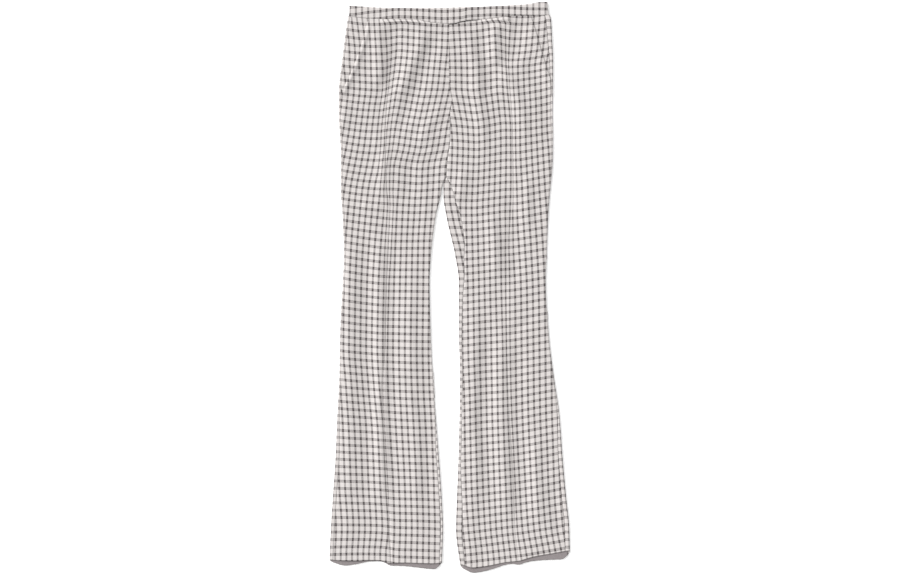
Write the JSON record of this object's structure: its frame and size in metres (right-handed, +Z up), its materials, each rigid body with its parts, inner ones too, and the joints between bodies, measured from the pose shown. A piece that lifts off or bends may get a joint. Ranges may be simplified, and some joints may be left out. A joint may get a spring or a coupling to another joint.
{
  "type": "flared trousers",
  "caption": "Flared trousers in a small woven check, laid flat with the front up, with pressed creases, slant pockets and a shaped waistband.",
  "frame": {"origin": "middle of the footprint, on the surface that the trousers lie on", "axes": "+X to the viewer's right (the wearer's left), +Y from the hems to the waist, +Z up out of the front"},
  "size_m": [0.4638, 1.1002, 0.0082],
  "materials": {
    "check_cloth": "matte woven check",
    "plain_facing": "matte plain weave"
  },
  "bodies": {
    "root": {"front_panel_right": "check_cloth", "front_panel_left": "check_cloth", "back_panel_right": "check_cloth", "back_panel_left": "check_cloth", "waistband_right": "check_cloth", "waistband_left": "check_cloth", "pocket_facing_right": "check_cloth", "pocket_facing_left": "check_cloth", "hem_facing_right": "plain_facing", "hem_facing_left": "plain_facing"}
  },
  "joints": []
}
